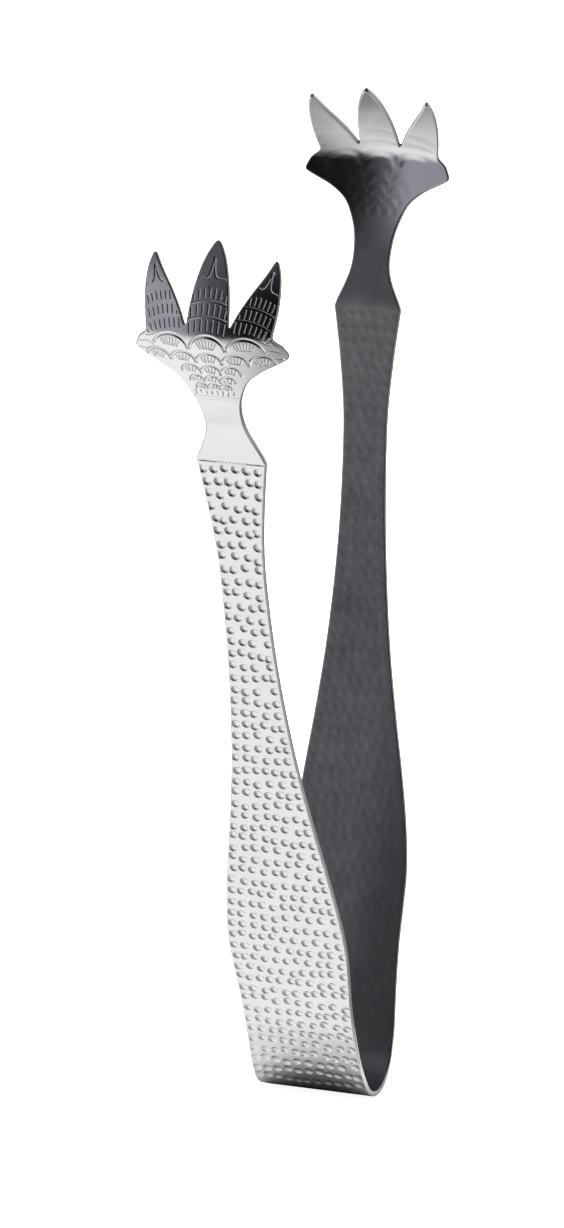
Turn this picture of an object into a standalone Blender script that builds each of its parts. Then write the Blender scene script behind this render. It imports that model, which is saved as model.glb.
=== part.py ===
"""Spring ice tongs: one strip of stainless sheet, bent into a U, with a three-taloned claw on each end.

Frame: +Z runs up the arms, X is the strip's width, Y is the way the arms open (front arm at -Y).
The origin is at the lowest point of the bow. Run with: blender --background --python part.py
"""
import bmesh
import bpy
from math import cos, radians, sin

# Driving dimensions, in metres and degrees.
SHEET = 0.0010            # thickness of the sheet
SEAM = 0.0003             # gap left where two sub-parts meet
GRIP_WIDTH = 0.0217       # the strip at its widest, across the grip
WAIST_WIDTH = 0.0081      # the strip at its narrowest, below the claw

# The side view of half the strip, from the bow's lowest point to a talon's tip: arcs of
# (length along the sheet, angle that it turns through).
BEND_ARCS = (
    (0.0086, 58.0),       # the bow
    (0.0080, 15.0),       # its shoulder
    (0.0290, 3.0),        # the grip
    (0.0180, 2.0),
    (0.0240, 0.0),        # the straight shank
    (0.0420, 3.0),
    (0.0125, 1.0),
    (0.0090, -22.0),      # the neck leans out
    (0.0166, 12.0),       # the palm
    (0.0038, 44.0),       # the knuckle
    (0.0136, 9.0),        # the talons lean in
)
BOW_END = 0.0072          # along the sheet: where the bow ends and an arm starts, on the hinge
ARM_END = sum(length for length, _ in BEND_ARCS[:7])      # the step line between arm and claw

# Half the strip's width along the arm, as (share of the way to the step line, half width).
WIDTH_STATIONS = (
    (0.000, 0.490 * GRIP_WIDTH), (0.065, 0.484 * GRIP_WIDTH), (0.130, 0.469 * GRIP_WIDTH),
    (0.195, 0.470 * GRIP_WIDTH), (0.245, 0.488 * GRIP_WIDTH), (0.290, 0.500 * GRIP_WIDTH),
    (0.340, 0.481 * GRIP_WIDTH), (0.405, 0.428 * GRIP_WIDTH), (0.485, 0.349 * GRIP_WIDTH),
    (0.565, 0.280 * GRIP_WIDTH), (0.645, 0.620 * WAIST_WIDTH), (0.725, 0.535 * WAIST_WIDTH),
    (0.805, 0.500 * WAIST_WIDTH), (0.870, 0.512 * WAIST_WIDTH), (0.935, 0.610 * WAIST_WIDTH),
    (1.000, 0.755 * WAIST_WIDTH),
)

# Half the claw's flat outline, as (across, along from the step line): smooth runs that meet in corners.
CLAW_RUNS = (
    (      # the neck and the underside of the spur
        (0.00610, 0.0), (0.00565, 0.0013), (0.00435, 0.0043), (0.00360, 0.0068), (0.00342, 0.0095),
        (0.00375, 0.0130), (0.00475, 0.0163), (0.00610, 0.0188), (0.00850, 0.0208), (0.01120, 0.0222),
        (0.01340, 0.0234),
    ),
    (      # the top of the spur
        (0.01340, 0.0234), (0.01280, 0.0248), (0.01200, 0.0263), (0.01070, 0.0277),
    ),
    (      # the outer side of the outer talon
        (0.01070, 0.0277), (0.01125, 0.0311), (0.01160, 0.0347), (0.01140, 0.0384), (0.01050, 0.0415),
    ),
    (      # its inner side, down to the notch
        (0.01050, 0.0415), (0.00880, 0.0383), (0.00665, 0.0349), (0.00500, 0.0319), (0.00365, 0.0289),
    ),
    (      # the middle talon
        (0.00365, 0.0289), (0.00345, 0.0322), (0.00290, 0.0363), (0.00180, 0.0406), (0.0, 0.0443),
    ),
)
POINTS_PER_STRETCH = 2

DISH = 0.0014             # how far the palm's sides are dished inward, at DISH_AT from the middle
DISH_AT = 0.0115
DISH_START, DISH_FULL = 0.0070, 0.0200    # along the claw, where the dish grows
DISH_FADE, CLAW_LENGTH = 0.0270, 0.0430   # and where it fades, towards the tips

STEEL_COLOUR = (0.62, 0.62, 0.63, 1.0)
STEEL_ROUGHNESS = 0.28


def clear_scene():
    for obj in list(bpy.data.objects):
        bpy.data.objects.remove(obj, do_unlink=True)


def steel():
    """Stainless steel, as one Principled shader."""
    material = bpy.data.materials.new("stainless_steel")
    material.use_nodes = True
    shader = material.node_tree.nodes["Principled BSDF"]
    shader.inputs["Base Color"].default_value = STEEL_COLOUR
    shader.inputs["Roughness"].default_value = STEEL_ROUGHNESS
    shader.inputs["Metallic"].default_value = 1.0
    return material


def side_view(along):
    """Point (out, up) and slope of the sheet's middle surface, at a distance along half the strip."""
    out, up, slope = 0.0, SHEET / 2, 0.0
    left = along
    for length, turn in BEND_ARCS:
        step = min(left, length)
        if step <= 0.0:
            break
        new_slope = slope + radians(turn) * step / length
        chord = step if turn == 0.0 else step * sin((new_slope - slope) / 2) / ((new_slope - slope) / 2)
        out += chord * cos((slope + new_slope) / 2)
        up += chord * sin((slope + new_slope) / 2)
        slope = new_slope
        left -= step
    return out, up, slope


def smooth_step(value, low, high):
    share = min(max((value - low) / (high - low), 0.0), 1.0)
    return share * share * (3.0 - 2.0 * share)


def half_width(along):
    """Half the strip's width, on a smooth curve through WIDTH_STATIONS (Catmull-Rom)."""
    share = min(along / ARM_END, 1.0)
    stations = WIDTH_STATIONS
    i = max(k for k in range(len(stations) - 1) if stations[k][0] <= share + 1e-9)
    (x1, w1), (x2, w2) = stations[i], stations[i + 1]
    x0, w0 = stations[i - 1] if i > 0 else (2 * x1 - x2, w2)
    x3, w3 = stations[i + 2] if i + 2 < len(stations) else (2 * x2 - x1, 2 * w2 - w1)
    span = x2 - x1
    slope1 = (w2 - w0) / (x2 - x0) * span
    slope2 = (w3 - w1) / (x3 - x1) * span
    t = (share - x1) / span
    return (w1 * (2 * t**3 - 3 * t**2 + 1) + slope1 * (t**3 - 2 * t**2 + t)
            + w2 * (3 * t**2 - 2 * t**3) + slope2 * (t**3 - t**2))


def bend(across, along, side):
    """Place a point of the flat strip on the bent middle surface; side is -1 front, +1 back."""
    out, up, slope = side_view(along)
    claw_along = along - ARM_END
    dish = DISH * (across / DISH_AT) ** 2 * smooth_step(claw_along, DISH_START, DISH_FULL)
    dish *= 1.0 - smooth_step(claw_along, DISH_FADE, CLAW_LENGTH)
    return across, side * (out - dish * sin(slope)), up + dish * cos(slope)


def sheet_object(name, mesh_builder, place, pivot, material, collection):
    """Make a flat sheet, bend it, thicken it, and put its origin on the pivot."""
    bm = bmesh.new()
    mesh_builder(bm)
    for vertex in bm.verts:
        point = place(vertex.co.x, vertex.co.y)
        vertex.co = [value - centre for value, centre in zip(point, pivot)]
    bmesh.ops.recalc_face_normals(bm, faces=bm.faces)
    mesh = bpy.data.meshes.new(name)
    bm.to_mesh(mesh)
    bm.free()
    mesh.materials.append(material)
    obj = bpy.data.objects.new(name, mesh)
    obj.location = pivot
    collection.objects.link(obj)
    solidify = obj.modifiers.new("sheet thickness", "SOLIDIFY")
    solidify.thickness = SHEET
    solidify.offset = 0.0
    solidify.use_even_offset = True
    solidify.use_quality_normals = True
    mesh.shade_smooth()
    return obj


def strip(start, end, rows, columns):
    """Builder of a flat strip from start to end, as wide as the outline there."""
    def build(bm):
        grid = bmesh.ops.create_grid(bm, x_segments=columns, y_segments=rows, size=1.0)
        for vertex in grid["verts"]:
            along = start + (end - start) * (vertex.co.y + 1.0) / 2
            vertex.co = (vertex.co.x * half_width(abs(along)), along, 0.0)
    return build


def smooth_run(points):
    """Points on a smooth curve (Catmull-Rom) through a run of points, without the last one."""
    before = [2 * points[0][k] - points[1][k] for k in range(2)]
    after = [2 * points[-1][k] - points[-2][k] for k in range(2)]
    padded = [before, *points, after]
    curve = []
    for a, b, c, d in zip(padded, padded[1:], padded[2:], padded[3:]):
        for i in range(POINTS_PER_STRETCH):
            t = i / POINTS_PER_STRETCH
            curve.append([0.5 * (2 * b[k] + (c[k] - a[k]) * t + (2 * a[k] - 5 * b[k] + 4 * c[k] - d[k]) * t**2
                                 + (3 * b[k] - a[k] - 3 * c[k] + d[k]) * t**3) for k in range(2)])
    return curve


def claw_outline():
    """The whole claw's flat outline, from its right foot over the talons to its left foot."""
    half = [point for run in CLAW_RUNS for point in smooth_run(run)]
    half[0][1] = SEAM / 2
    return half + [list(CLAW_RUNS[-1][-1])] + [[-x, y] for x, y in reversed(half)]


def claw_blank(bm):
    """Builder of the flat claw: a filled outline, cut across wherever it has to bend."""
    curve = bpy.data.curves.new("claw outline", "CURVE")
    curve.dimensions = "2D"
    curve.fill_mode = "BOTH"
    outline = claw_outline()
    spline = curve.splines.new("POLY")
    spline.points.add(len(outline) - 1)
    for point, (across, along) in zip(spline.points, outline):
        point.co = (across, along, 0.0, 1.0)
    spline.use_cyclic_u = True
    guide = bpy.data.objects.new("claw outline", curve)
    bpy.context.collection.objects.link(guide)
    filled = bpy.data.meshes.new_from_object(guide.evaluated_get(bpy.context.evaluated_depsgraph_get()))
    bm.from_mesh(filled)
    bpy.data.objects.remove(guide, do_unlink=True)
    bpy.data.meshes.remove(filled)
    bmesh.ops.remove_doubles(bm, verts=bm.verts, dist=1e-6)
    cuts_along = [0.0020 * i for i in range(1, 13)] + [0.0253 + 0.0009 * i for i in range(6)]
    cuts_along += [0.0325, 0.0360, 0.0400]
    cuts_across = [0.0025 * i for i in range(-4, 5)]
    cuts = [((0.0, along, 0.0), (0.0, 1.0, 0.0)) for along in cuts_along]
    cuts += [((across, 0.0, 0.0), (1.0, 0.0, 0.0)) for across in cuts_across]
    for point, normal in cuts:
        geometry = bm.verts[:] + bm.edges[:] + bm.faces[:]
        bmesh.ops.bisect_plane(bm, geom=geometry, dist=1e-5, plane_co=point, plane_no=normal)
    bmesh.ops.triangulate(bm, faces=[face for face in bm.faces if len(face.verts) > 4])


def main():
    clear_scene()
    tongs = bpy.data.collections.new("ice_tongs")
    bpy.context.scene.collection.children.link(tongs)
    material = steel()

    def place_bow(across, along):
        return bend(across, abs(along), 1 if along > 0.0 else -1)

    bow_reach = BOW_END - SEAM / 2
    sheet_object("spring_bow", strip(-bow_reach, bow_reach, rows=21, columns=6), place_bow,
                 (0.0, 0.0, 0.0), material, tongs)

    out, up, _ = side_view(BOW_END)
    for name, side in (("front", -1), ("back", 1)):
        pivot = (0.0, side * out, up)

        def place_arm(across, along, side=side):
            return bend(across, along, side)

        def place_claw(across, along, side=side):
            return bend(across, along + ARM_END, side)

        sheet_object(f"{name}_arm", strip(BOW_END + SEAM / 2, ARM_END - SEAM / 2, rows=44, columns=6),
                     place_arm, pivot, material, tongs)
        sheet_object(f"{name}_claw", claw_blank, place_claw, pivot, material, tongs)


main()
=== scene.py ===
"""Looks of the spring ice tongs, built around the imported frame.

The tongs are one strip of stainless sheet. Each piece here is one stretch of that strip: its outline and its
relief are laid out flat, as (across, along) points in metres, then carried onto the bent sheet. The sheet's bends
are the CAD model's. The outer face has pressed dimples and a cut claw pattern, the inner face has the faint marks
that those leave, and a rounded cut edge joins the two.
"""

from math import cos, pi, radians, sin

import bpy
import numpy as np
from mathutils import Matrix, Vector
from mathutils.geometry import delaunay_2d_cdt


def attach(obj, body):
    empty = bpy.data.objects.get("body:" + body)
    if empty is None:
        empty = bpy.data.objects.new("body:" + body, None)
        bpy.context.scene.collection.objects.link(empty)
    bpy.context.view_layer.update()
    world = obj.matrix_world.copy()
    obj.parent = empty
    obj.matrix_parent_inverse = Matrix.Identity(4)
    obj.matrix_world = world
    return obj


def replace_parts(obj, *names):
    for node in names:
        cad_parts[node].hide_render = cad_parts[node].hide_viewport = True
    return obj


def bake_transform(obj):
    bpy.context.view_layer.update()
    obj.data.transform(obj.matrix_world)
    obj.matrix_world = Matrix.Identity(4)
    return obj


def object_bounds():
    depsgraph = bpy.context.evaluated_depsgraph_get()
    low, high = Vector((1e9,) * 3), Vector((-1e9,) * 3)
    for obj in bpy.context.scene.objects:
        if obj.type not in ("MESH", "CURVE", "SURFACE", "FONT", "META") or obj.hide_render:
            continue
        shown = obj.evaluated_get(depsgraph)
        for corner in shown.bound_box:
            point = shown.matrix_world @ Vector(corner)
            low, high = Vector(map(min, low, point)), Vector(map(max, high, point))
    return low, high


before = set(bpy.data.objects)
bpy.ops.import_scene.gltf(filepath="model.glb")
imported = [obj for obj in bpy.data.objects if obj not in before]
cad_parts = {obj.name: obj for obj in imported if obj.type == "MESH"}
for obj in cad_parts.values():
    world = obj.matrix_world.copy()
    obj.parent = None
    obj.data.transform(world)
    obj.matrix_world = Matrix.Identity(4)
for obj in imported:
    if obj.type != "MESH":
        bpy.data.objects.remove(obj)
CAD_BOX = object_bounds()

MM = 0.001

# The sheet, as the CAD model has it.
SHEET = 1.0 * MM
GRIP_WIDTH = 21.7 * MM
WAIST_WIDTH = 8.1 * MM
BEND_ARCS = (             # (length along the sheet, turn in degrees), from the bow's lowest point to a tip
    (8.6 * MM, 58.0), (8.0 * MM, 15.0), (29.0 * MM, 3.0), (18.0 * MM, 2.0), (24.0 * MM, 0.0), (42.0 * MM, 3.0),
    (12.5 * MM, 1.0), (9.0 * MM, -22.0), (16.6 * MM, 12.0), (3.8 * MM, 44.0), (13.6 * MM, 9.0),
)
BOW_END = 7.2 * MM
ARM_END = sum(length for length, _ in BEND_ARCS[:7])
WIDTH_STATIONS = np.array((
    (0.000, 0.490 * GRIP_WIDTH), (0.065, 0.484 * GRIP_WIDTH), (0.130, 0.469 * GRIP_WIDTH),
    (0.195, 0.470 * GRIP_WIDTH), (0.245, 0.488 * GRIP_WIDTH), (0.290, 0.500 * GRIP_WIDTH),
    (0.340, 0.481 * GRIP_WIDTH), (0.405, 0.428 * GRIP_WIDTH), (0.485, 0.349 * GRIP_WIDTH),
    (0.565, 0.280 * GRIP_WIDTH), (0.645, 0.620 * WAIST_WIDTH), (0.725, 0.535 * WAIST_WIDTH),
    (0.805, 0.500 * WAIST_WIDTH), (0.870, 0.512 * WAIST_WIDTH), (0.935, 0.610 * WAIST_WIDTH),
    (1.000, 0.755 * WAIST_WIDTH),
))
DISH, DISH_AT = 1.4 * MM, 11.5 * MM
DISH_START, DISH_FULL, DISH_FADE, CLAW_LENGTH = 7.0 * MM, 20.0 * MM, 27.0 * MM, 43.0 * MM

# Half the claw's outline in millimetres, (across, along from the step line): runs between corners, and how far
# from each corner its rounding starts.
CLAW_RUNS = (
    ((6.10, 0.0), (5.65, 1.3), (4.35, 4.3), (3.60, 6.8), (3.42, 9.5), (3.75, 13.0), (4.75, 16.3), (6.1, 18.8),
     (8.5, 20.8), (11.2, 22.2), (13.4, 23.4)),
    ((13.4, 23.4), (12.8, 24.8), (12.0, 26.3), (10.7, 27.7)),
    ((10.7, 27.7), (11.25, 31.1), (11.6, 34.7), (11.4, 38.4), (10.5, 41.5)),
    ((10.5, 41.5), (8.8, 38.3), (6.65, 34.9), (5.0, 31.9), (3.65, 28.9)),
    ((3.65, 28.9), (3.45, 32.2), (2.9, 36.3), (1.8, 40.6), (0.0, 44.3)),
)
CORNER_ROUNDING = (0.8, 0.9, 1.3, 0.6, 1.5)

EDGE_RADIUS = 0.32 * MM           # of the rounding along every cut edge
EDGE_STEPS = 4                    # rings of faces in each quarter turn of it
EDGE_SPACING = 0.55 * MM          # between mesh points along an edge
CLAW_EDGE_SPACING = 0.30 * MM

DIMPLE_RADIUS = 0.82 * MM
DIMPLE_DEPTH = 0.20 * MM
CUP_POWER = 2.4                   # of the dimple's profile: 2 is a round cup, more is flatter-bottomed
DIMPLE_PITCH = 1.93 * MM          # across the strip
DIMPLE_ROWS = 2.42 * MM           # along it
FIRST_ROW = 9.3 * MM              # from the bow's lowest point
LAST_ROW = 1.45 * MM              # from the step line
ROW_END = 1.05 * MM               # between a row's last dimple and the strip's edge
DIMPLE_JITTER = (0.14 * MM, 0.20 * MM)
WITNESS_HEIGHT = 0.010 * MM       # of the faint marks that the dimples leave inside
STEP_DEPTH, STEP_WIDTH = 0.085 * MM, 0.19 * MM      # the line pressed across the strip at the claw's foot
GHOST_SHARE, GHOST_WIDEN = 0.28, 3.0                # how deep and how wide the claw's cuts show inside
GHOST_FROM, GHOST_BELOW = 25.5 * MM, 0.35           # below this far along the claw they show this much less
SEED = 7


# ---- the bent sheet ---------------------------------------------------------------------------------------------

def side_view(along):
    """Arrays (out, up, slope) of the sheet's middle surface; a negative distance runs up the front half."""
    sign = np.where(along < 0.0, -1.0, 1.0)
    left = np.abs(along)
    out, up, slope = np.zeros_like(left), np.full_like(left, SHEET / 2), np.zeros_like(left)
    for length, turn in BEND_ARCS + ((1.0, 0.0),):
        step = np.clip(left, 0.0, length)
        turned = slope + radians(turn) * step / length
        chord = step * np.sinc((turned - slope) / (2.0 * pi))
        out += chord * np.cos((slope + turned) / 2)
        up += chord * np.sin((slope + turned) / 2)
        slope = turned
        left = left - step
    return sign * out, up, sign * slope


def smooth_step(value, low, high):
    share = np.clip((value - low) / (high - low), 0.0, 1.0)
    return share * share * (3.0 - 2.0 * share)


def bend(across, along, height, side):
    """Carry points of the flat strip onto the bent sheet; height is towards the outer face, from the middle."""
    out, up, slope = side_view(along)
    claw_along = np.abs(along) - ARM_END
    dish = DISH * (across / DISH_AT) ** 2 * smooth_step(claw_along, DISH_START, DISH_FULL)
    dish *= 1.0 - smooth_step(claw_along, DISH_FADE, CLAW_LENGTH)
    lift = height - dish
    return np.stack([across, side * (out + lift * np.sin(slope)), up - lift * np.cos(slope)], axis=-1)


def surface(points, height_of, side):
    """Positions and unit normals (towards the outer face) of flat points whose height is height_of(points)."""
    step = 0.01 * MM

    def at(shift):
        moved = points + shift
        return bend(moved[:, 0], moved[:, 1], height_of(moved), side)

    place = at(np.zeros(2))
    across = at(np.array([step, 0.0])) - at(np.array([-step, 0.0]))
    along = at(np.array([0.0, step])) - at(np.array([0.0, -step]))
    normal = -side * np.cross(across, along)
    return place, normal / np.linalg.norm(normal, axis=1, keepdims=True)


# ---- outlines ---------------------------------------------------------------------------------------------------

def half_width(along):
    """Half the strip's width, on the same smooth curve through WIDTH_STATIONS as the CAD model's."""
    share = np.clip(np.abs(along) / ARM_END, 0.0, 1.0)
    x, w = WIDTH_STATIONS[:, 0], WIDTH_STATIONS[:, 1]
    x_before, x_after = 2 * x[0] - x[1], 2 * x[-1] - x[-2]
    padded_x = np.concatenate([[x_before], x, [x_after]])
    padded_w = np.concatenate([[w[1]], w, [2 * w[-1] - w[-2]]])
    tangent = (padded_w[2:] - padded_w[:-2]) / (padded_x[2:] - padded_x[:-2])
    i = np.clip(np.searchsorted(x, share, side="right") - 1, 0, len(x) - 2)
    span = x[i + 1] - x[i]
    t = (share - x[i]) / span
    return (w[i] * (2 * t**3 - 3 * t**2 + 1) + tangent[i] * span * (t**3 - 2 * t**2 + t)
            + w[i + 1] * (3 * t**2 - 2 * t**3) + tangent[i + 1] * span * (t**3 - t**2))


def through(points, per_stretch=12):
    """A smooth curve (Catmull-Rom) through the points."""
    points = np.asarray(points, float)
    padded = np.vstack([2 * points[0] - points[1], points, 2 * points[-1] - points[-2]])
    t = np.linspace(0.0, 1.0, per_stretch, endpoint=False)[:, None]
    curve = []
    for a, b, c, d in zip(padded, padded[1:], padded[2:], padded[3:]):
        curve.append(0.5 * (2 * b + (c - a) * t + (2 * a - 5 * b + 4 * c - d) * t**2
                            + (3 * b - a - 3 * c + d) * t**3))
    return np.vstack(curve + [points[-1:]])


def lengths_along(points):
    return np.concatenate([[0.0], np.cumsum(np.linalg.norm(np.diff(points, axis=0), axis=1))])


def resample(points, spacing):
    """The same line with evenly spaced points about spacing apart, both ends kept."""
    travelled = lengths_along(points)
    count = max(2, int(round(travelled[-1] / spacing)) + 1)
    wanted = np.linspace(0.0, travelled[-1], count)
    return np.stack([np.interp(wanted, travelled, points[:, k]) for k in (0, 1)], axis=1)


def claw_side():
    """The right half of the claw's outline, from its foot to the middle tip, with its corners rounded."""
    runs = [through(np.array(run) * MM) for run in CLAW_RUNS]
    line = runs[0]
    for run, rounding in zip(runs[1:], CORNER_ROUNDING):
        before = lengths_along(line)
        after = lengths_along(run)
        keep = line[before < before[-1] - rounding * MM]
        then = run[after > rounding * MM]
        t = np.linspace(0.0, 1.0, 9)[1:-1, None]
        corner = (1 - t) ** 2 * keep[-1] + 2 * t * (1 - t) * run[0] + t**2 * then[0]
        line = np.vstack([keep, corner, then])
    tip_rounding = CORNER_ROUNDING[-1] * MM
    travelled = lengths_along(line)
    keep = line[travelled < travelled[-1] - tip_rounding]
    mirrored = keep[-1] * (-1, 1)
    t = np.linspace(0.0, 0.5, 5)[1:, None]
    tip = (1 - t) ** 2 * keep[-1] + 2 * t * (1 - t) * line[-1] + t**2 * mirrored
    return np.vstack([keep, tip])


def outline_of(side_line, end_line):
    """Closed outline, anticlockwise, with how far and which way each point is set in for the rounded edge.

    side_line runs up the right side; end_line, if any, runs from the right side's top to the left side's top.
    """
    left = side_line[::-1] * (-1, 1)
    top = end_line if end_line is not None else side_line[-1:]
    foot = resample(np.array([side_line[0] * (-1, 1), side_line[0]]), EDGE_SPACING)
    loop = np.vstack([side_line[:-1], top, left[1:-1], foot[:-1]])
    ahead = np.roll(loop, -1, axis=0) - np.roll(loop, 1, axis=0)
    outward = np.stack([ahead[:, 1], -ahead[:, 0]], axis=1)
    outward /= np.linalg.norm(outward, axis=1, keepdims=True)
    inset = np.full(len(loop), EDGE_RADIUS)
    foot_start = len(loop) - len(foot) + 1
    flat_ends = [(foot_start, len(loop), (0.0, -1.0))]
    if end_line is not None:
        flat_ends.append((len(side_line) - 1, len(side_line) - 1 + len(end_line), (0.0, 1.0)))
    for first, last, facing in flat_ends:
        outward[first:last] = facing
        inset[first:last] = 0.0
    corners = [foot_start, 0]
    if end_line is not None:
        corners += [len(side_line) - 1, len(side_line) - 2 + len(end_line)]
    for corner in corners:
        outward[corner] = (np.sign(loop[corner, 0]), 0.0)
        inset[corner] = EDGE_RADIUS
    return loop, outward, np.minimum(inset, room_for_inset(loop, corners))


def room_for_inset(loop, corners):
    """How far the outline can be set in before its tips fold over, smoothed along it."""
    before, after = loop - np.roll(loop, 1, axis=0), np.roll(loop, -1, axis=0) - loop
    turn = np.arctan2(before[:, 0] * after[:, 1] - before[:, 1] * after[:, 0], (before * after).sum(axis=1))
    turn[corners] = 0.0
    radius = np.linalg.norm(after, axis=1) / np.maximum(turn, 1e-6)
    room = np.minimum(0.6 * radius, EDGE_RADIUS)
    for _ in range(3):
        room = np.minimum(room, (np.roll(room, 1) + np.roll(room, -1)) / 2)
    return room


def strip_outline(start, end):
    along = resample(np.array([[0.0, start], [0.0, end]]), EDGE_SPACING)[:, 1]
    right = np.stack([half_width(along), along], axis=1)
    top = resample(np.array([right[-1], right[-1] * (-1, 1)]), EDGE_SPACING)
    return outline_of(right, top)


def depth_inside(points, loop):
    """Distance from each point to the closed outline, negative outside it."""
    start, end = loop, np.roll(loop, -1, axis=0)
    nearest = np.full(len(points), np.inf)
    inside = np.zeros(len(points), bool)
    for a, b in zip(start, end):
        line = b - a
        t = np.clip((points - a) @ line / (line @ line), 0.0, 1.0)
        nearest = np.minimum(nearest, np.hypot(*(points - a - t[:, None] * line).T))
        crosses = (a[1] > points[:, 1]) != (b[1] > points[:, 1])
        with np.errstate(divide="ignore", invalid="ignore"):
            x = a[0] + (points[:, 1] - a[1]) * line[0] / line[1]
        inside ^= crosses & (points[:, 0] < x)
    return np.where(inside, nearest, -nearest)


def filler(loop, across_step, along_step, margin):
    """Staggered points that fill an outline."""
    low, high = loop.min(axis=0), loop.max(axis=0)
    rows = np.arange(low[1] + along_step / 2, high[1], along_step)
    columns = np.arange(-np.ceil(high[0] / across_step), np.ceil(high[0] / across_step) + 1) * across_step
    points = [(x + (0.25 if i % 2 else -0.25) * across_step, y) for i, y in enumerate(rows) for x in columns]
    points = np.array(points)
    return points[depth_inside(points, loop) > margin]


# ---- relief -----------------------------------------------------------------------------------------------------

def dimple_places(seed):
    """Centres of the dimples of one arm: wavy, staggered rows that spread over the width they have."""
    draw = np.random.default_rng(seed)
    centres = []
    rows = int((ARM_END - FIRST_ROW - 1.0 * MM) / DIMPLE_ROWS) + 1
    pitch = (ARM_END - LAST_ROW - FIRST_ROW) / (rows - 1)
    for row in range(rows):
        along = FIRST_ROW + row * pitch
        room = 2 * (float(half_width(np.array(along))) - ROW_END)
        count = max(3, int(round(room / DIMPLE_PITCH + (0.25 if row % 2 else -0.25))) + 1)
        slant = draw.normal(0.0, 0.018)
        wave, phase = draw.uniform(0.0, 0.28) * MM, draw.uniform(0.0, 2 * pi)
        lean = (0.5 if row % 2 else -0.5) * 0.42 * room / (count - 1)
        for i in range(count):
            spread = i / (count - 1) - 0.5
            across = spread * room + lean * (1.0 - (2 * spread) ** 2)
            rise = slant * across + wave * sin(phase + spread * 5.0)
            if row in (0, rows - 1):
                rise *= 0.3         # the end rows run almost straight
            jitter = draw.normal(0.0, DIMPLE_JITTER)
            size = draw.uniform(0.90, 1.08)
            centres.append((across + jitter[0], along + rise + jitter[1], size))
    return np.array(centres)


def dimple_profile(t):
    """Share of a dimple's depth at t radii from its centre: a cup with a soft lip."""
    lip_in, lip_out = 0.88, 1.12
    cup = 1.0 - t**CUP_POWER
    edge = 1.0 - lip_in**CUP_POWER
    steepness = -CUP_POWER * lip_in ** (CUP_POWER - 1.0) * (lip_out - lip_in)
    u = np.clip((t - lip_in) / (lip_out - lip_in), 0.0, 1.0)
    lip = edge * (2 * u**3 - 3 * u**2 + 1) + steepness * (u**3 - 2 * u**2 + u)
    return np.where(t < lip_in, cup, np.where(t < lip_out, lip, 0.0))


def nearest_dimple(points, dimples):
    """Distance from each point to the nearest dimple's centre, in that dimple's radii."""
    best = np.full(len(points), 99.0)
    order = np.argsort(points[:, 1])
    sorted_along = points[order, 1]
    for across, along, size in dimples:
        first, last = np.searchsorted(sorted_along, (along - 1.3 * MM, along + 1.3 * MM))
        near = order[first:last]
        distance = np.hypot(points[near, 0] - across, points[near, 1] - along) / (DIMPLE_RADIUS * size)
        best[near] = np.minimum(best[near], distance)
    return best


def step_line(points):
    """The fine line pressed across the strip where the arm ends and the claw's neck begins."""
    return STEP_DEPTH * np.exp(-(((points[:, 1] - ARM_END) / STEP_WIDTH) ** 2))


def step_rows(offsets, reach, count):
    """Rows of mesh points beside the step line, at offsets from it; lengths in millimetres."""
    return np.array([(x, ARM_END + y * MM) for y in offsets for x in np.linspace(-reach * MM, reach * MM, count)])


def ringed(dimples, rings, loop, margin):
    """Points on rings round each dimple, so that the mesh follows its shape."""
    points = []
    for number, (across, along, size) in enumerate(dimples):
        for radius, count in rings:
            angle = 2 * pi * (np.arange(count) + 0.5 * (number % 2)) / count
            reach = radius * DIMPLE_RADIUS * size
            points.append(np.stack([across + reach * np.cos(angle), along + reach * np.sin(angle)], axis=1))
    points = np.vstack(points)
    return points[depth_inside(points, loop) > margin]


class Engraving:
    """Cut lines on the claw, each kept as (points, half width, depth); they are given in flat millimetres."""

    def __init__(self, loop):
        self.loop = loop
        self.strokes = []

    def line(self, points, half_width_mm, depth_mm, margin_mm=0.45, smooth=True):
        """Add a line, curved through its points if smooth, leaving out what is nearer the edge than the margin."""
        points = np.asarray(points, float) * MM
        points = through(points, 8) if smooth and len(points) > 2 else points
        points = resample(points, 0.22 * MM)
        kept = depth_inside(points, self.loop) > margin_mm * MM
        runs = np.split(np.arange(len(points)), np.where(np.diff(kept.astype(int)) != 0)[0] + 1)
        for run in runs:
            if kept[run[0]] and len(run) > 1:
                self.strokes.append((points[run] + (0.0, ARM_END), half_width_mm * MM, depth_mm * MM))

    def depth(self, points, widen=1.0):
        """Depth of the cuts at each point."""
        deepest = np.zeros(len(points))
        order = np.argsort(points[:, 1])
        sorted_along = points[order, 1]
        for line, half, depth in self.strokes:
            reach = half * widen
            first, last = np.searchsorted(sorted_along, (line[:, 1].min() - reach, line[:, 1].max() + reach))
            near = order[first:last]
            near = near[np.abs(points[near, 0] - line[:, 0].mean()) < np.ptp(line[:, 0]) / 2 + reach + 0.2 * MM]
            if not len(near):
                continue
            distance = np.full(len(near), np.inf)
            for a, b in zip(line, line[1:]):
                step = b - a
                t = np.clip((points[near] - a) @ step / (step @ step), 0.0, 1.0)
                distance = np.minimum(distance, np.hypot(*(points[near] - a - t[:, None] * step).T))
            share = np.clip(1.0 - (distance / reach) ** 2, 0.0, 1.0) ** 2
            deepest[near] = np.maximum(deepest[near], depth * share)
        return deepest

    def mesh_points(self):
        """Rows of points along and beside each cut."""
        rows = []
        for line, half, _ in self.strokes:
            ahead = np.gradient(line, axis=0)
            beside = np.stack([-ahead[:, 1], ahead[:, 0]], axis=1)
            beside /= np.linalg.norm(beside, axis=1, keepdims=True)
            rows += [line + beside * offset * half for offset in (-1.05, -0.55, 0.0, 0.55, 1.05)]
            ends = np.array([line[0] - ahead[0] * 0.6, line[-1] + ahead[-1] * 0.6])
            rows.append(ends)
        return np.vstack(rows)


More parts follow.
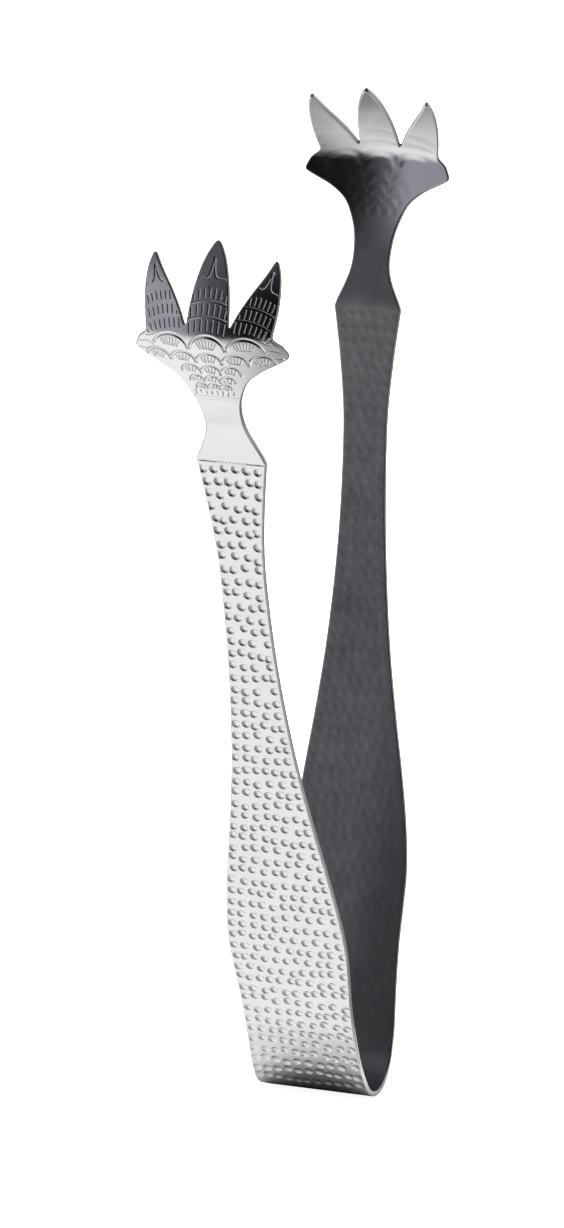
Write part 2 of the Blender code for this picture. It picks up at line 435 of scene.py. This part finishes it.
def arch(centre, radii):
    """Most of the upper half of an ellipse, from left to right."""
    angles = np.radians(np.linspace(172.0, 8.0, 9))
    return np.stack([centre[0] + radii[0] * np.cos(angles), centre[1] + radii[1] * np.sin(angles)], axis=1)


def scallop(engraving, centre, radii, barbs, weight=1.0):
    """One feather scale: a bold arch with a row of short barbs under it."""
    engraving.line(arch(centre, radii), 0.37 * weight, 0.18 * weight, margin_mm=0.50)
    for angle in np.radians(np.linspace(132.0, 48.0, barbs)):
        ray = np.array([cos(angle) * radii[0] * 1.12, sin(angle) * radii[1]])
        engraving.line([centre + ray * 0.74, centre + ray * 0.50 * (1.0, 0.50)], 0.19, 0.090, smooth=False)


# Up the middle talon from its foot, in millimetres: where strokes start and end, and where the other lines are.
TALON_BANDS = ((0.6, 2.2), (3.3, 4.8), (6.0, 7.4))
TALON_ARCS = (2.7, 5.3)
NAIL_AT = 9.6

# The rows of feather scales, as (height of the arches' centres, spacing, radii, barbs in each).
SCALE_ROWS = ((25.2, 6.35, (3.05, 2.5), 7), (22.5, 4.45, (2.2, 2.1), 5), (20.3, 3.4, (1.7, 1.8), 4),
              (18.4, 2.65, (1.28, 1.5), 3), (16.9, 2.05, (1.0, 1.25), 3))


def talon(engraving, foot, tip, foot_half_width, scale):
    """Three bands of short strokes between arcs, and a nail drawn round a tall spike."""
    foot, tip = np.array(foot), np.array(tip)
    length = np.linalg.norm(tip - foot)
    up = (tip - foot) / length
    right = np.array([up[1], -up[0]])

    def at(across, along):
        return foot + right * across + up * along

    for low, high in TALON_BANDS:
        low, high = low * scale, high * scale
        half = foot_half_width * (1.0 - 0.30 * (high / length) ** 2) * 0.86
        count = int(2 * half / (0.86 * scale)) + 1
        for x in np.linspace(-half, half, count):
            sag = 0.55 * (1.0 - (x / half) ** 2) * scale
            slant = 0.06 * x
            engraving.line([at(x, low + sag), at(x + slant, high + sag)], 0.20, 0.085, smooth=False)
    for level in TALON_ARCS:
        xs = np.linspace(-foot_half_width, foot_half_width, 9)
        arc = [at(x, level * scale + 0.65 * scale * (1.0 - (x / foot_half_width) ** 2)) for x in xs]
        engraving.line(arc, 0.26, 0.075, margin_mm=0.30)
    nail = NAIL_AT * scale
    for side in (-1, 1):
        wing = [at(side * 3.2 * scale, nail - 0.1), at(side * 1.9 * scale, nail + 0.05), at(side * 0.95, nail + 0.1)]
        engraving.line(wing, 0.22, 0.085, margin_mm=0.35)
    spike = [(-0.95, 0.1), (-0.50, 0.55), (-0.24, 1.7 * scale), (0.0, 3.6 * scale),
             (0.24, 1.7 * scale), (0.50, 0.55), (0.95, 0.1)]
    engraving.line([at(x, nail + y) for x, y in spike], 0.22, 0.095, margin_mm=0.30, smooth=False)


def claw_engraving(loop):
    """The whole pattern: scales on the palm, lines on the spurs, banded talons, a border above the neck."""
    flat_loop = loop - (0.0, ARM_END)
    art = Engraving(flat_loop)
    for height, spacing, radii, barbs in SCALE_ROWS:
        for place in range(-2, 3):
            centre = np.array([place * spacing, height - 0.09 * abs(place) ** 1.5])
            if depth_inside(centre[None] * MM, flat_loop)[0] > 0.9 * MM and abs(place * spacing) < 10.0:
                scallop(art, centre, radii, barbs, weight=1.0 if height > 22.0 else 0.85)
    for x in np.linspace(-3.2, 3.2, 8):
        art.line([(x, 15.65), (x * 1.04, 16.5)], 0.12, 0.045, smooth=False)
    art.line([(-5.0, 15.1), (0.0, 15.1), (5.0, 15.1)], 0.16, 0.050, margin_mm=0.32)
    art.line([(-5.0, 14.2), (0.0, 14.2), (5.0, 14.2)], 0.45, 0.030, margin_mm=0.32)
    for side in (-1, 1):
        art.line([(side * 9.6, 24.9), (side * 10.6, 25.5), (side * 12.2, 24.9)], 0.22, 0.085)
        art.line([(side * 8.6, 22.6), (side * 10.0, 23.6), (side * 12.3, 23.6)], 0.22, 0.085)
        art.line([(side * 9.3, 27.4), (side * 10.3, 26.8), (side * 11.4, 26.9)], 0.13, 0.045)
    talon(art, (0.0, 27.4), (0.0, 42.9), 3.35, 1.0)
    for side in (-1, 1):
        talon(art, (side * 7.25, 27.5), (side * 10.5, 40.4), 3.35, 0.88)
    return art


# ---- meshes -----------------------------------------------------------------------------------------------------

def triangulate(loop, inner):
    """Triangles over an outline and the points inside it; the outline's points come first."""
    points = np.vstack([loop, inner]) / MM
    found = delaunay_2d_cdt([Vector(point) for point in points], [], [list(range(len(loop)))], 1, 1e-5)
    places, _, faces, sources = found[:4]
    if len(places) != len(points) or not all(sources):
        raise RuntimeError(f"outline crosses itself: {len(points)} points in, {len(places)} out")
    lookup = np.array([source[0] for source in sources])
    return lookup[np.array([list(face) for face in faces])]


def plain(height):
    """The height function of a face without relief."""
    return lambda points: np.full(len(points), height)


def sheet_piece(name, side, outline, outer, inner, materials):
    """A closed stretch of sheet; outer and inner are (points, height function) of its two faces.

    side is -1 for the front half and 1 for the back half. The materials are for the outer face, the inner face
    and the cut edge.
    """
    loop, outward, inset = outline
    rim_loop = loop - outward * inset[:, None]
    count = len(loop)
    vertices, normals, flat, faces, kinds = [], [], [], [], []
    offset = 0

    def add_face(points, height_of, facing, kind):
        nonlocal offset
        everything = np.vstack([rim_loop, points])
        place, normal = surface(everything, height_of, side)
        triangles = triangulate(rim_loop, points) + offset
        if (facing > 0) == (side > 0):
            triangles = triangles[:, ::-1]
        vertices.append(place)
        normals.append(facing * normal)
        flat.append(everything)
        faces.extend(triangles.tolist())
        kinds.extend([kind] * len(triangles))
        offset += len(everything)
        return offset - len(everything)

    outer_start = add_face(*outer, 1, 0)
    inner_start = add_face(*inner, -1, 1)

    # The rounded edge: rings from the outer face's rim round to the inner face's.
    outer_relief = SHEET / 2 - outer[1](rim_loop)
    ring_starts = [outer_start]
    quarter = np.linspace(0.0, pi / 2, EDGE_STEPS + 1)[1:]
    turns = [(angle, 1) for angle in quarter] + [(angle, -1) for angle in quarter[::-1]]
    for angle, face in turns:
        set_in = inset * (1.0 - sin(angle))
        height = face * (SHEET / 2 - EDGE_RADIUS * (1.0 - cos(angle)))
        if face > 0:
            height = height - outer_relief * cos(angle)
        ring = loop - outward * set_in[:, None]
        place, normal = surface(ring, plain(face * SHEET / 2), side)
        reach, _ = surface(ring + outward * 0.05 * MM, plain(face * SHEET / 2), side)
        away = reach - place
        away /= np.linalg.norm(away, axis=1, keepdims=True)
        vertices.append(bend(ring[:, 0], ring[:, 1], height, side))
        normals.append(face * cos(angle) * normal + sin(angle) * away)
        flat.append(ring)
        ring_starts.append(offset)
        offset += count
    ring_starts.append(inner_start)
    following = np.roll(np.arange(count), -1)
    for a, b in zip(ring_starts, ring_starts[1:]):
        quads = np.stack([a + np.arange(count), b + np.arange(count), b + following, a + following], axis=1)
        if side > 0:
            quads = quads[:, ::-1]
        faces.extend(quads.tolist())
        kinds.extend([2] * count)

    mesh = bpy.data.meshes.new(name)
    mesh.from_pydata(np.vstack(vertices).tolist(), [], faces)
    for material in materials:
        mesh.materials.append(material)
    mesh.polygons.foreach_set("material_index", kinds)
    mesh.polygons.foreach_set("use_smooth", [True] * len(faces))
    corners = np.zeros(len(mesh.loops), int)
    mesh.loops.foreach_get("vertex_index", corners)
    layer = mesh.uv_layers.new(name="strip")
    layer.data.foreach_set("uv", (np.vstack(flat)[corners] / MM).astype(np.float32).ravel())
    all_normals = np.vstack(normals)
    all_normals /= np.linalg.norm(all_normals, axis=1, keepdims=True)
    mesh.normals_split_custom_set_from_vertices(all_normals.tolist())
    piece = bpy.data.objects.new(name, mesh)
    bpy.context.scene.collection.objects.link(piece)
    return piece


def bow_piece(materials):
    outline = strip_outline(-BOW_END, BOW_END)
    points = filler(outline[0], 1.4 * MM, 0.42 * MM, 0.45 * MM)
    piece = sheet_piece("bow_sheet", 1, outline, (points, plain(SHEET / 2)), (points, plain(-SHEET / 2)), materials)
    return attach(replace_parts(piece, "spring_bow"), "bow")


def arm_piece(name, side, seed, materials):
    outline = strip_outline(BOW_END, ARM_END)
    dimples = dimple_places(seed)

    def outer_height(points):
        share = dimple_profile(nearest_dimple(points, dimples))
        return SHEET / 2 - DIMPLE_DEPTH * share - step_line(points)

    def inner_height(points):
        mark = np.clip(1.0 - (nearest_dimple(points, dimples) / 1.25) ** 2, 0.0, 1.0) ** 2
        return -SHEET / 2 - WITNESS_HEIGHT * mark

    rings = ((0.0, 1), (0.38, 6), (0.62, 10), (0.80, 14), (0.90, 16), (1.01, 16), (1.13, 16))
    margin = 0.10 * MM + EDGE_RADIUS
    outer = ringed(dimples, rings, outline[0], margin)
    gaps = filler(outline[0], 0.95 * MM, 0.8 * MM, margin)
    gaps = gaps[nearest_dimple(gaps, dimples) > 1.34]
    outer, gaps = (points[points[:, 1] < ARM_END - 0.6 * MM] for points in (outer, gaps))
    inner = ringed(dimples, ((0.0, 1), (0.42, 6), (0.85, 10), (1.25, 12)), outline[0], margin)
    outer_points = np.vstack([outer, gaps, step_rows((-0.10, -0.20, -0.31, -0.46), 5.6, 20)])
    inner_points = np.vstack([inner, gaps])
    piece = sheet_piece(f"{name}_sheet", side, outline, (outer_points, outer_height), (inner_points, inner_height),
                        materials)
    out, up, slope = (float(value) for value in side_view(np.array(BOW_END)))
    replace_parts(piece, name)
    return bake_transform(piece)


def claw_piece(arm_name, side, materials):
    side_line = resample(claw_side(), CLAW_EDGE_SPACING) + (0.0, ARM_END)
    side_line[-1, 0] = 0.0      # the tip, exactly in the middle
    outline = outline_of(side_line, None)
    art = claw_engraving(outline[0])

    def outer_height(points):
        return SHEET / 2 - art.depth(points) - step_line(points)

    ghost = Engraving(outline[0] - (0.0, ARM_END))
    ghost.strokes = [(line, half, depth * (1.0 if line[:, 1].mean() > ARM_END + GHOST_FROM else GHOST_BELOW))
                     for line, half, depth in art.strokes if half > 0.25 * MM]

    def inner_height(points):
        return -SHEET / 2 - GHOST_SHARE * ghost.depth(points, widen=GHOST_WIDEN)

    margin = EDGE_RADIUS + 0.09 * MM
    cuts = art.mesh_points()
    cuts = cuts[depth_inside(cuts, outline[0]) > margin]
    ground = filler(outline[0], 0.42 * MM, 0.36 * MM, margin)
    cuts = thinned(np.vstack([cuts, step_rows((0.10, 0.20, 0.31), 5.5, 24), ground]), 0.065 * MM)
    inner = filler(outline[0], 0.36 * MM, 0.31 * MM, margin)
    name = arm_name.replace("arm", "claw")
    piece = sheet_piece(f"{name}_sheet", side, outline, (cuts, outer_height), (inner, inner_height), materials)
    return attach(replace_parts(piece, name), arm_name)


def thinned(points, spacing):
    """The points without those that crowd an earlier one."""
    cells = {}
    kept = []
    for point in points:
        cell = (int(point[0] // spacing), int(point[1] // spacing))
        near = [q for i in (-1, 0, 1) for j in (-1, 0, 1) for q in cells.get((cell[0] + i, cell[1] + j), ())]
        if all((point[0] - q[0]) ** 2 + (point[1] - q[1]) ** 2 > spacing**2 for q in near):
            cells.setdefault(cell, []).append(point)
            kept.append(point)
    return np.array(kept)


# ---- materials --------------------------------------------------------------------------------------------------

def mapped(nodes, links, source, before, after, target):
    """Link source to target, with the range before carried to the range after."""
    node = nodes.new("ShaderNodeMapRange")
    node.inputs["From Min"].default_value, node.inputs["From Max"].default_value = before
    node.inputs["To Min"].default_value, node.inputs["To Max"].default_value = after
    links.new(source, node.inputs["Value"])
    links.new(node.outputs["Result"], target)
    return node


def steel(name, colour, roughness, spread, grain_strength, painted_tip_shade=None):
    """Stainless steel: roughness in soft clouds, fine polishing lines along the strip.

    With a painted tip shade, the colour falls to that share of itself towards the talons' tips; this darkening is
    painted shade, not a darker steel.
    """
    material = bpy.data.materials.new(name)
    material.use_nodes = True
    nodes, links = material.node_tree.nodes, material.node_tree.links
    shader = nodes["Principled BSDF"]
    shader.inputs["Base Color"].default_value = (*colour, 1.0)
    shader.inputs["Metallic"].default_value = 1.0
    uv = nodes.new("ShaderNodeUVMap")
    uv.uv_map = "strip"

    def noise(scale, stretch, detail):
        mapping = nodes.new("ShaderNodeMapping")
        mapping.inputs["Scale"].default_value = (scale * stretch, scale, scale)
        links.new(uv.outputs["UV"], mapping.inputs["Vector"])
        texture = nodes.new("ShaderNodeTexNoise")
        texture.inputs["Scale"].default_value = 1.0
        texture.inputs["Detail"].default_value = detail
        links.new(mapping.outputs["Vector"], texture.inputs["Vector"])
        return texture.outputs["Fac"]

    clouds = noise(0.22, 1.2, 4.0)
    lines = noise(0.35, 26.0, 3.0)
    mixed = nodes.new("ShaderNodeMath")
    mixed.operation = "MULTIPLY_ADD"
    mixed.inputs[1].default_value = 0.55
    links.new(lines, mixed.inputs[0])
    links.new(clouds, mixed.inputs[2])
    mapped(nodes, links, mixed.outputs[0], (0.45, 1.15), (roughness - spread, roughness + spread),
           shader.inputs["Roughness"])
    bump = nodes.new("ShaderNodeBump")
    bump.inputs["Strength"].default_value = grain_strength
    bump.inputs["Distance"].default_value = 0.00002
    links.new(lines, bump.inputs["Height"])
    links.new(bump.outputs["Normal"], shader.inputs["Normal"])
    # Painted shade: the base colour darkens towards the talons' tips, wavering with the clouds.
    if painted_tip_shade is not None:
        place = nodes.new("ShaderNodeSeparateXYZ")
        links.new(uv.outputs["UV"], place.inputs["Vector"])
        wavering = nodes.new("ShaderNodeMath")
        wavering.operation = "MULTIPLY_ADD"
        wavering.inputs[1].default_value = 6.0
        links.new(clouds, wavering.inputs[0])
        links.new(place.outputs["Y"], wavering.inputs[2])
        shaded = nodes.new("ShaderNodeVectorMath")
        shaded.operation = "SCALE"
        shaded.inputs[0].default_value = colour
        talons = (ARM_END / MM + 32.0, ARM_END / MM + 43.0)
        mapped(nodes, links, wavering.outputs[0], talons, (1.0, painted_tip_shade), shaded.inputs["Scale"])
        links.new(shaded.outputs["Vector"], shader.inputs["Base Color"])
    return material


# ---- the object -------------------------------------------------------------------------------------------------

STEEL = [
    steel("polished_outer_face", (0.68, 0.68, 0.69), 0.21, 0.04, 0.10),
    # The inner face is satin, and its talon tips are painted darker: painted shade.
    steel("satin_inner_face_painted_tip_shade", (0.62, 0.62, 0.64), 0.23, 0.04, 0.20, painted_tip_shade=0.42),
    steel("rounded_cut_edge", (0.62, 0.62, 0.64), 0.24, 0.06, 0.20),
]
bow_piece(STEEL)
for number, (arm, facing) in enumerate((("front_arm", -1), ("back_arm", 1))):
    arm_piece(arm, facing, SEED + number, STEEL)
    claw_piece(arm, facing, STEEL)


# ---- floor, light and camera ------------------------------------------------------------------------------------

def stage():
    """A wide white floor to look at, and a card that only the steel mirrors, painted with a shadow: dark under the
    bow, paler outside.
    """
    floor = level_square("floor", 60.0, 0.3 * MM, 0.92)
    floor.visible_glossy = False
    card = level_square("mirrored_card_painted_shadow", 0.044, 0.2 * MM, 0.0)
    card.visible_camera = card.visible_diffuse = card.visible_shadow = False
    nodes, links = card.data.materials[0].node_tree.nodes, card.data.materials[0].node_tree.links
    coordinates = nodes.new("ShaderNodeTexCoord")
    distance = nodes.new("ShaderNodeVectorMath")
    distance.operation = "LENGTH"
    links.new(coordinates.outputs["Object"], distance.inputs[0])
    # Painted shadow: the card's colour is darkest right under the bow, so the steel mirrors a shadow there.
    shade = mapped(nodes, links, distance.outputs["Value"], (6.0 * MM, 19.0 * MM), (0.045, 0.50),
                   nodes["Principled BSDF"].inputs["Base Color"])
    shade.interpolation_type = "SMOOTHSTEP"


def level_square(name, size, drop, glow):
    """A matt white square, a drop below the object's lowest point."""
    bpy.ops.mesh.primitive_plane_add(size=size, location=(0.0, 0.0, CAD_BOX[0][2] - drop))
    square = bpy.context.object
    square.name = name
    paint = bpy.data.materials.new(name + "_white")
    paint.use_nodes = True
    shader = paint.node_tree.nodes["Principled BSDF"]
    shader.inputs["Base Color"].default_value = (0.92, 0.92, 0.92, 1.0)
    shader.inputs["Roughness"].default_value = 0.9
    shader.inputs["Specular IOR Level"].default_value = 0.1
    shader.inputs["Emission Color"].default_value = (1.0, 1.0, 1.0, 1.0)
    shader.inputs["Emission Strength"].default_value = glow
    square.data.materials.append(paint)
    return square


def area_light(name, place, aim, size, power):
    """A rectangular lamp that the steel does not mirror."""
    data = bpy.data.lights.new(name, "AREA")
    data.shape = "RECTANGLE"
    data.size, data.size_y = size
    data.energy = power
    light = bpy.data.objects.new(name, data)
    light.location = place
    light.visible_glossy = False
    light.rotation_euler = (Vector(aim) - Vector(place)).to_track_quat("-Z", "Y").to_euler()
    bpy.context.scene.collection.objects.link(light)


def surround():
    """The room: pale to look at. The steel mirrors white below, and above that dark walls, paler on the left."""
    world = bpy.data.worlds.new("studio")
    bpy.context.scene.world = world
    world.use_nodes = True
    nodes, links = world.node_tree.nodes, world.node_tree.links
    background = nodes["Background"]
    coordinates = nodes.new("ShaderNodeTexCoord")
    split = nodes.new("ShaderNodeSeparateXYZ")
    links.new(coordinates.outputs["Generated"], split.inputs["Vector"])

    def ramp(output, stops, tint=(1.0, 1.0, 1.0)):
        """A tinted grey that changes with one part of the direction, from -1 to 1."""
        node = nodes.new("ShaderNodeValToRGB")
        mapped(nodes, links, output, (-1.0, 1.0), (0.0, 1.0), node.inputs["Fac"])
        elements = node.color_ramp.elements
        while len(elements) < len(stops):
            elements.new(0.5)
        for element, (place, value) in zip(elements, stops):
            element.position = (place + 1.0) / 2.0
            element.color = (value * tint[0], value * tint[1], value * tint[2], 1.0)
        return node.outputs["Color"]

    def mix(factor, first, second):
        """first where factor is 0, second where it is 1; second may be a plain colour."""
        node = nodes.new("ShaderNodeMix")
        node.data_type = "RGBA"
        links.new(factor, node.inputs["Factor"])
        for name, source in (("A", first), ("B", second)):
            socket = [socket for socket in node.inputs if socket.name == name and socket.type == "RGBA"][0]
            if isinstance(source, tuple):
                socket.default_value = source
            else:
                links.new(source, socket)
        return [socket for socket in node.outputs if socket.type == "RGBA"][0]

    walls = mix(ramp(split.outputs["Y"], REAR_SHARE), ramp(split.outputs["X"], WALL_GREYS, (0.98, 0.96, 1.06)),
                ramp(split.outputs["X"], REAR_GREYS, (0.99, 0.98, 1.03)))
    below = ramp(split.outputs["X"], BELOW_GREYS, (1.0, 0.995, 0.975))
    behind = ramp(split.outputs["Y"], BEHIND_GREYS)
    below = mix(behind, (0.0, 0.0, 0.0, 1.0), below)
    downward = ramp(split.outputs["Z"], BELOW_SHARE)
    mirrored = mix(downward, walls, below)
    path = nodes.new("ShaderNodeLightPath")
    seen = mix(path.outputs["Is Camera Ray"], mirrored, (0.80, 0.80, 0.80, 1.0))
    links.new(seen, background.inputs["Color"])
    background.inputs["Strength"].default_value = 1.28


# What the steel mirrors in each direction, as (part of the direction, grey or share) stops. The greys of the
# walls, the rear walls and below go by x, from left to right; the factor behind and the share of rear walls go
# by y, from front to back; the share of below goes by z, from below upwards.
WALL_GREYS = ((-1.0, 0.35), (-0.62, 0.32), (-0.50, 0.44), (-0.42, 0.24), (-0.345, 0.065), (-0.29, 0.048),
              (-0.20, 0.003), (0.30, 0.003), (0.84, 0.04), (1.0, 0.15))
REAR_GREYS = ((-1.0, 0.60), (-0.62, 0.45), (-0.45, 0.08), (-0.29, 0.02), (-0.08, 0.08), (0.30, 0.20),
              (0.80, 0.50), (1.0, 0.60))
REAR_SHARE = ((-1.0, 0.0), (0.05, 0.0), (0.40, 1.0), (1.0, 1.0))
BELOW_GREYS = ((-1.0, 1.0), (-0.28, 1.0), (-0.15, 0.72), (0.0, 0.46), (0.2, 0.28), (0.45, 0.34), (0.75, 0.60),
               (1.0, 0.70))
BEHIND_GREYS = ((-1.0, 1.0), (-0.14, 1.0), (-0.05, 0.76), (0.05, 0.42), (0.20, 0.26), (0.35, 0.34), (0.60, 0.70),
                (0.80, 0.82), (1.0, 0.82))
BELOW_SHARE = ((-1.0, 1.0), (-0.58, 1.0), (-0.45, 0.86), (-0.30, 0.48), (-0.14, 0.05), (0.0, 0.0), (1.0, 0.0))


def camera():
    """A long lens, above and to the right of the front arm, rolled by a hair."""
    azimuth, elevation, roll = radians(19.24), radians(23.36), radians(1.98)
    data = bpy.data.cameras.new("camera")
    data.lens = 185.7
    data.sensor_width = 36.0
    data.clip_start, data.clip_end = 0.05, 20.0
    view = bpy.data.objects.new("camera", data)
    forward = Vector((-sin(azimuth) * cos(elevation), cos(azimuth) * cos(elevation), -sin(elevation)))
    right = Matrix.Rotation(roll, 3, forward) @ Vector((cos(azimuth), sin(azimuth), 0.0))
    up = right.cross(forward)
    view.matrix_world = Matrix((right, up, -forward)).transposed().to_4x4()
    view.location = (0.3263, -0.9493, 0.5251)
    bpy.context.scene.collection.objects.link(view)
    bpy.context.scene.camera = view


stage()
surround()
area_light("overhead", (0.0, 0.1, 1.3), (0.0, 0.0, 0.0), (3.2, 3.2), 125.0)
camera()
bpy.context.scene.view_settings.view_transform = "Standard"
